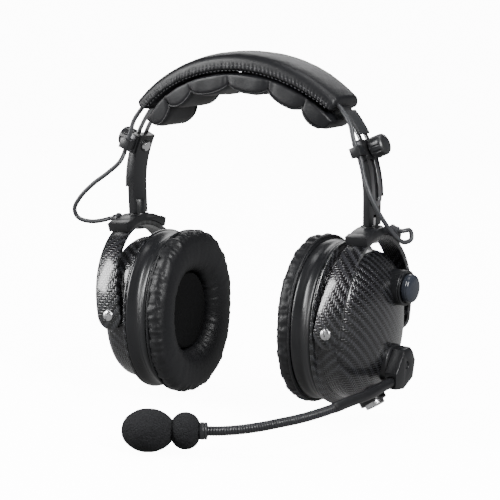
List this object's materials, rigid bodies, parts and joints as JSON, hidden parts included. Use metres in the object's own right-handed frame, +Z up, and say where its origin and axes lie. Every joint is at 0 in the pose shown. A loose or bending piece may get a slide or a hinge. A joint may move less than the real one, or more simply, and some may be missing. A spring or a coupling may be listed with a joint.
{
  "type": "aviation headset",
  "caption": "Over-ear aviation headset: padded spring headband, sliding forked arms, carbon-look ear cups with leather seals, side volume control and a bendable microphone boom.",
  "frame": {"origin": "where the wearer's head touches the middle of the head cushion, on its underside", "axes": "+Z up, -Y the way the wearer faces, +X the wearer's left, where the microphone boom is"},
  "size_m": [0.2406, 0.2096, 0.2322],
  "materials": {
    "leather": "soft black leather with a slight grain",
    "steel": "brushed spring steel",
    "screw_steel": "plated",
    "plastic": "satin black",
    "knob_plastic": "satin black",
    "carbon": "clear-coated black twill",
    "gloss_cap": "gloss blue-grey",
    "foam": "open-cell foam",
    "cord": "satin dark grey",
    "fibre": "matte black"
  },
  "bodies": {
    "headband": {"headband_spring": "steel", "head_pad_cover": "leather", "head_cushion": "leather", "crossover_lead": "cord", "lead_guard": "plastic"},
    "left_arm": {"left_arm": "plastic", "left_clamp_plate": "steel", "left_clamp_screw": "screw_steel", "left_lead_clip": "plastic", "left_upper_lead": "cord"},
    "left_knob": {"left_clamp_knob": "knob_plastic"},
    "left_yoke": {"left_swivel_pin": "screw_steel", "left_yoke": "carbon", "left_saddle": "plastic", "left_lead_gland": "plastic", "left_lower_lead": "cord"},
    "left_cup": {"left_shell": "carbon", "left_pivot_screw_front": "screw_steel", "left_pivot_screw_rear": "screw_steel", "left_cup_body": "plastic", "left_baffle": "fibre", "left_speaker": "plastic", "left_ear_seal": "leather", "left_ear_foam": "foam", "volume_base": "plastic", "volume_pot": "plastic", "socket_flange": "plastic", "socket_ring": "screw_steel", "boom_disc": "plastic", "boom_screw": "screw_steel"},
    "right_arm": {"right_arm": "plastic", "right_clamp_plate": "steel", "right_clamp_screw": "screw_steel", "right_lead_clip": "plastic", "right_upper_lead": "cord"},
    "right_knob": {"right_clamp_knob": "knob_plastic"},
    "right_yoke": {"right_swivel_pin": "screw_steel", "right_yoke": "carbon", "right_saddle": "plastic", "right_lead_gland": "plastic", "right_lower_lead": "cord"},
    "right_cup": {"right_shell": "carbon", "right_pivot_screw_front": "screw_steel", "right_pivot_screw_rear": "screw_steel", "right_cup_body": "plastic", "right_baffle": "fibre", "right_speaker": "plastic", "right_ear_seal": "leather", "right_ear_foam": "foam"},
    "volume_knob": {"volume_knob": "gloss_cap"},
    "boom": {"boom_bracket": "plastic", "boom_sleeve": "plastic", "gooseneck_1": "plastic"},
    "gooseneck": {"gooseneck_2": "plastic"},
    "mic": {"gooseneck_3": "plastic", "mic_collar": "knob_plastic", "mic_capsule": "plastic", "mic_muff": "foam"}
  },
  "joints": [
    {"name": "left_arm_slide", "type": "hinge", "parent": "headband", "child": "left_arm", "pos_m": [0.01321, 0, -0.06356], "axis": [0, 1, 0], "range_deg": [-3, 18.5], "deforming": ["left_upper_lead"]},
    {"name": "left_knob_turn", "type": "hinge", "parent": "left_arm", "child": "left_knob", "pos_m": [0.09297, 0, -0.02637], "axis": [0.9063, 0, 0.4226], "range_deg": [-180, 180]},
    {"name": "left_yoke_swivel", "type": "hinge", "parent": "left_arm", "child": "left_yoke", "pos_m": [0.09076, 0, -0.07663], "axis": [-0.0436, 0, 0.999], "range_deg": [-15, 15], "deforming": ["left_lower_lead"]},
    {"name": "left_cup_tilt", "type": "hinge", "parent": "left_yoke", "child": "left_cup", "pos_m": [0.08794, 0, -0.14081], "axis": [0, 1, 0], "range_deg": [-12, 8]},
    {"name": "right_arm_slide", "type": "hinge", "parent": "headband", "child": "right_arm", "pos_m": [-0.01321, 0, -0.06356], "axis": [0, -1, 0], "range_deg": [-10, 10.5], "deforming": ["right_upper_lead"]},
    {"name": "right_knob_turn", "type": "hinge", "parent": "right_arm", "child": "right_knob", "pos_m": [-0.09737, 0, -0.03783], "axis": [-0.9563, 0, 0.2924], "range_deg": [-180, 180]},
    {"name": "right_yoke_swivel", "type": "hinge", "parent": "right_arm", "child": "right_yoke", "pos_m": [-0.08818, 0, -0.08729], "axis": [-0.0958, 0, 0.9954], "range_deg": [-15, 15], "deforming": ["right_lower_lead"]},
    {"name": "right_cup_tilt", "type": "hinge", "parent": "right_yoke", "child": "right_cup", "pos_m": [-0.07646, 0, -0.15046], "axis": [0, 1, 0], "range_deg": [-12, 10]},
    {"name": "volume_turn", "type": "hinge", "parent": "left_cup", "child": "volume_knob", "pos_m": [0.11048, 0.015, -0.11655], "axis": [1, 0, -0.0017], "range_deg": [-150, 150]},
    {"name": "boom_swing", "type": "hinge", "parent": "left_cup", "child": "boom", "pos_m": [0.1077, 0.009, -0.16455], "axis": [1, 0, -0.0017], "range_deg": [-50, 120]},
    {"name": "gooseneck_bend", "type": "hinge", "parent": "boom", "child": "gooseneck", "pos_m": [0.09088, -0.09565, -0.18693], "axis": [0.0017, 0, 1], "range_deg": [-10, 10]},
    {"name": "mic_bend", "type": "hinge", "parent": "gooseneck", "child": "mic", "pos_m": [0.07346, -0.11716, -0.19061], "axis": [0.0017, 0, 1], "range_deg": [-10, 10]}
  ]
}
